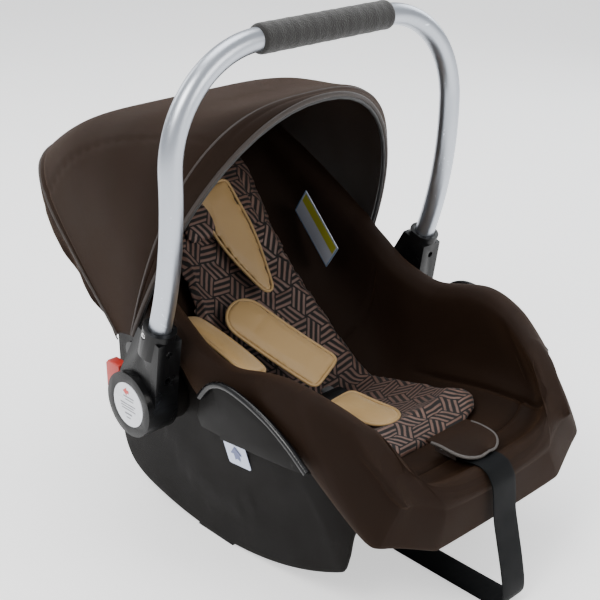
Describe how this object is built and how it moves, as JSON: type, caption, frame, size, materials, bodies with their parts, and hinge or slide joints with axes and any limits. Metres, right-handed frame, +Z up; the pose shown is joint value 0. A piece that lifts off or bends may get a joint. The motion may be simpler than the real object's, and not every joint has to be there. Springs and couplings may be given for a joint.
{
  "type": "infant car seat",
  "caption": "Infant carrier car seat: bucket shell on rocker sides, padded cover, newborn insert, harness, turning tube handle and folding canopy.",
  "frame": {"origin": "on the floor under the middle of the seat's bounding box", "axes": "+Z up, -Y towards the foot end, +X across the seat"},
  "size_m": [0.4526, 0.6239, 0.5743],
  "materials": {
    "shell_plastic": "fine textured",
    "foam": "matte",
    "cover_fabric": "matte",
    "canopy_cloth": "matte",
    "insert_plush": "plush",
    "black_plastic": "semi-gloss",
    "tube_metal": "satin",
    "grip_foam": "matte",
    "red_plastic": "gloss",
    "spring_steel": "satin",
    "label": "satin",
    "screw_steel": "satin",
    "beige_satin": "satin",
    "webbing": "woven",
    "rubber_feet": "matte"
  },
  "bodies": {
    "seat": {"seat_shell": "shell_plastic", "foam_liner": "foam", "seat_cover": "cover_fabric", "adjuster_flap": "cover_fabric", "canopy_fabric": "canopy_cloth", "newborn_insert": "insert_plush", "head_pillow": "insert_plush", "left_belt_guide": "black_plastic", "right_belt_guide": "black_plastic", "left_hub_base": "black_plastic", "right_hub_base": "black_plastic", "canopy_snaps": "black_plastic", "buckle_body": "black_plastic", "arrow_sticker": "label", "care_tag": "label", "buckle_tongues": "screw_steel", "splitter_plate": "screw_steel", "adjuster_body": "screw_steel", "strap_anchors": "screw_steel", "left_shoulder_pad": "beige_satin", "right_shoulder_pad": "beige_satin", "upper_strap_cover": "beige_satin", "crotch_pad": "beige_satin", "left_shoulder_strap": "webbing", "right_shoulder_strap": "webbing", "crotch_strap": "webbing", "rear_strap": "webbing", "adjuster_strap": "webbing", "rocker_feet": "rubber_feet"},
    "handle": {"left_handle_arm": "black_plastic", "right_handle_arm": "black_plastic", "handle_tube": "tube_metal", "foam_grip": "grip_foam", "left_hub_label": "label", "right_hub_label": "label", "handle_screws": "screw_steel", "tube_rivets": "screw_steel", "left_button_spring": "spring_steel", "right_button_spring": "spring_steel"},
    "left_button": {"left_release_button": "red_plastic"},
    "right_button": {"right_release_button": "red_plastic"},
    "canopy_frame": {"canopy_bow": "black_plastic", "canopy_clips": "black_plastic"},
    "buckle_press": {"buckle_button": "red_plastic"},
    "adjuster_press": {"adjuster_lever": "screw_steel"}
  },
  "joints": [
    {"name": "handle_turn", "type": "hinge", "parent": "seat", "child": "handle", "pos_m": [0, 0.031, 0.179], "axis": [1, 0, 0], "range_deg": [-85, 85]},
    {"name": "canopy_fold", "type": "hinge", "parent": "seat", "child": "canopy_frame", "pos_m": [0, 0.088, 0.206], "axis": [1, 0, 0], "range_deg": [-42, 0], "deforming": ["canopy_fabric"]},
    {"name": "left_button_push", "type": "slide", "parent": "handle", "child": "left_button", "axis": [0, -1, 0], "range_m": [0, 0.005], "stiffness_N_per_m": 800, "springref_m": -0.004, "deforming": ["left_button_spring"]},
    {"name": "right_button_push", "type": "slide", "parent": "handle", "child": "right_button", "axis": [0, -1, 0], "range_m": [0, 0.005], "stiffness_N_per_m": 800, "springref_m": -0.004, "deforming": ["right_button_spring"]},
    {"name": "buckle_push", "type": "slide", "parent": "seat", "child": "buckle_press", "axis": [0, 0.1392, -0.9903], "range_m": [0, 0.002], "stiffness_N_per_m": 1500, "springref_m": -0.001},
    {"name": "adjuster_push", "type": "hinge", "parent": "seat", "child": "adjuster_press", "pos_m": [0, -0.234, 0.157], "axis": [1, 0, 0], "range_deg": [0, 8], "stiffness_Nm_per_rad": 0.3, "springref_deg": -17.19}
  ]
}
